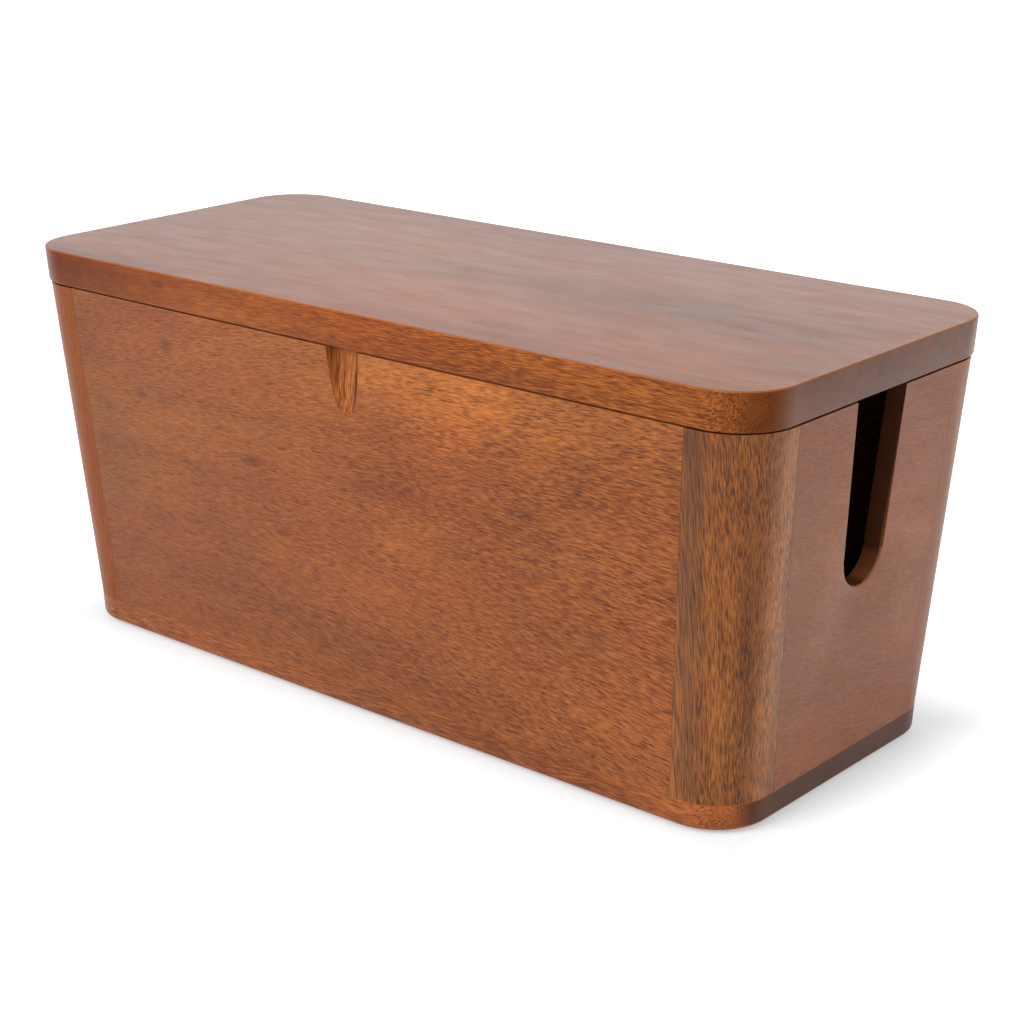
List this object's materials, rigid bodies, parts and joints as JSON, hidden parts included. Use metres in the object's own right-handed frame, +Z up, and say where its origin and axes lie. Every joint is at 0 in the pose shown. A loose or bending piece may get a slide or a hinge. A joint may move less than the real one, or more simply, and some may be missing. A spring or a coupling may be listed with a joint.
{
  "type": "cable management box",
  "caption": "Tapered round-cornered wooden box for a power strip, with a lift-off lid, a thumb scoop in front and an open-topped cable slot in each end.",
  "frame": {"origin": "on the floor, under the middle of the box", "axes": "+X along the length towards the right end, -Y towards the front with the thumb scoop, +Z up"},
  "size_m": [0.4, 0.17, 0.178],
  "materials": {
    "lid_wood": "satin lacquer over reddish-brown stained hardwood, grain along X",
    "panel_wood": "satin lacquer over reddish-brown stained hardwood, grain along the board",
    "post_wood": "satin lacquer over reddish-brown stained hardwood, grain upright",
    "base_wood": "satin lacquer over reddish-brown stained hardwood, grain along X",
    "rail_wood": "the same hardwood, thinly oiled",
    "dowel_wood": "bare pale beech",
    "screw_steel": "zinc-plated steel",
    "pad_rubber": "matt black rubber"
  },
  "bodies": {
    "box_body": {"front_panel": "panel_wood", "back_panel": "panel_wood", "left_end_panel": "panel_wood", "right_end_panel": "panel_wood", "post_front_left": "post_wood", "post_back_left": "post_wood", "post_front_right": "post_wood", "post_back_right": "post_wood", "spline_front_wall_left": "dowel_wood", "spline_back_wall_left": "dowel_wood", "spline_front_wall_right": "dowel_wood", "spline_back_wall_right": "dowel_wood", "spline_left_end_front": "dowel_wood", "spline_left_end_back": "dowel_wood", "spline_right_end_front": "dowel_wood", "spline_right_end_back": "dowel_wood", "base_board": "base_wood", "base_dowels": "dowel_wood", "base_screws": "screw_steel", "foot_pad_front_left": "pad_rubber", "foot_pad_back_left": "pad_rubber", "foot_pad_front_right": "pad_rubber", "foot_pad_back_right": "pad_rubber"},
    "lid": {"lid_board": "lid_wood", "lid_rail_front": "rail_wood", "lid_rail_back": "rail_wood"}
  },
  "joints": [
    {"name": "lid_lift", "type": "slide", "parent": "box_body", "child": "lid", "axis": [0, 0, 1], "range_m": [0, 0.2]}
  ]
}
